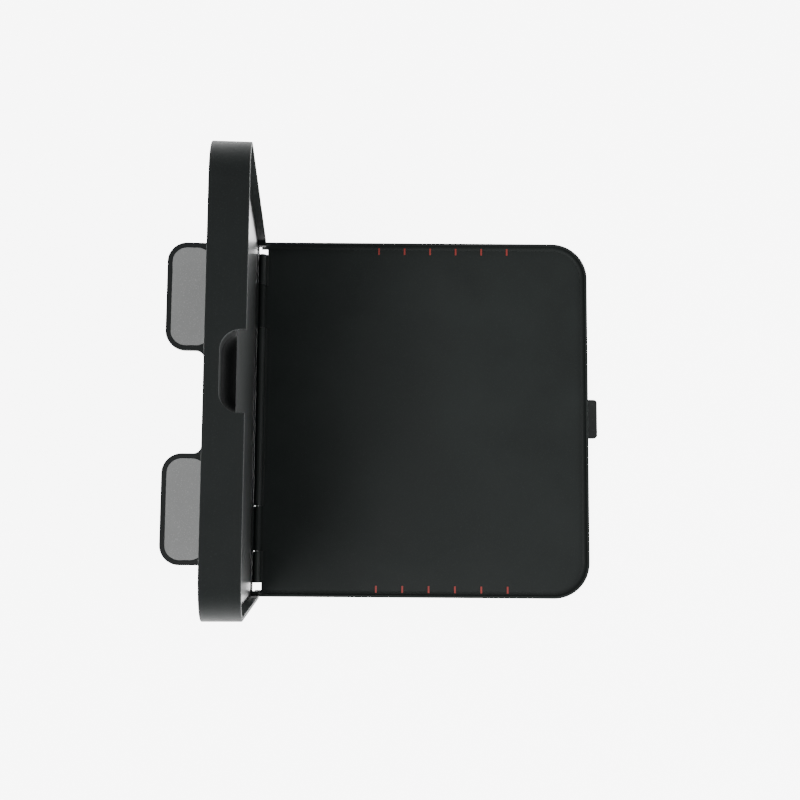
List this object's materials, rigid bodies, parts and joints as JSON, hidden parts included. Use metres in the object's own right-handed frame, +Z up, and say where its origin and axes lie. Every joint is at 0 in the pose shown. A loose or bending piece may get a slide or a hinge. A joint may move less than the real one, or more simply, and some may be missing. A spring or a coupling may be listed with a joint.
{
  "type": "fold-out wifi node",
  "caption": "Slim leaning housing on a fold-down front cover with low lip, red index marks and pull tab, with a two-lobed hinged wing at the back.",
  "frame": {"origin": "centre of the standing face, on the floor under the middle of the folded-down cover", "axes": "+X along the hinge to the object's right as seen from behind the cover's far edge, +Y from the cover's tab towards the housing and its wing, +Z up"},
  "size_m": [0.2026, 0.229, 0.1935],
  "materials": {
    "shell": "satin charcoal",
    "panel": "gloss black",
    "back": "satin charcoal",
    "scoop": "satin black",
    "board": "solder mask green",
    "chip": "matte black",
    "pad": "soft grey",
    "spreader": "satin",
    "can": "tinned",
    "foil": "bright copper",
    "lead": "matte black",
    "gold": "plated",
    "socket_metal": "satin",
    "tongue": "matte black",
    "button": "satin",
    "switch": "matte",
    "led": "clear",
    "pipe": "frosted clear",
    "steel": "satin",
    "black_steel": "black oxide",
    "magnet": "nickel",
    "tray": "satin charcoal",
    "tab": "soft charcoal",
    "mark": "dull red inlay",
    "pad_foot": "matte black",
    "wing_shell": "satin charcoal",
    "radome": "light grey satin",
    "wing_lid": "satin charcoal"
  },
  "bodies": {
    "housing": {"housing_band": "shell", "front_panel": "panel", "rear_cover": "back", "finger_scoop": "scoop", "main_board": "board", "processor_chip": "chip", "memory_chips": "chip", "radio_chips": "chip", "thermal_pads": "pad", "heat_spreader": "spreader", "shield_can_left": "can", "shield_can_right": "can", "antenna_left": "foil", "antenna_right": "foil", "antenna_top": "foil", "antenna_lead_left": "lead", "antenna_lead_right": "lead", "lead_connectors": "gold", "power_socket": "socket_metal", "socket_tongue": "tongue", "pairing_switch": "switch", "status_led": "led", "light_pipe": "pipe", "board_screws": "steel", "lid_screws": "black_steel", "hinge_rod": "steel", "wing_pin": "steel", "housing_magnets": "magnet"},
    "cover": {"cover_tray": "tray", "pull_tab": "tab", "index_marks_left": "mark", "index_marks_right": "mark", "cover_pads": "pad_foot", "cover_magnets": "magnet"},
    "wing": {"wing_frame": "wing_shell", "wing_panel_left": "radome", "wing_panel_right": "radome", "wing_lid_left": "wing_lid", "wing_lid_right": "wing_lid", "wing_antenna_left": "foil", "wing_antenna_right": "foil"},
    "button": {"pairing_button": "button"}
  },
  "joints": [
    {"name": "cover_hinge", "type": "hinge", "parent": "housing", "child": "cover", "pos_m": [0, 0.0922, 0.007], "axis": [-1, 0, 0], "range_deg": [-4.5, 85.4]},
    {"name": "wing_hinge", "type": "hinge", "parent": "housing", "child": "wing", "pos_m": [0, 0.10434, 0.07589], "axis": [-1, 0, 0], "range_deg": [0, 90]},
    {"name": "button_press", "type": "slide", "parent": "housing", "child": "button", "axis": [1, 0, 0], "range_m": [0, 0.0005], "stiffness_N_per_m": 2000}
  ]
}
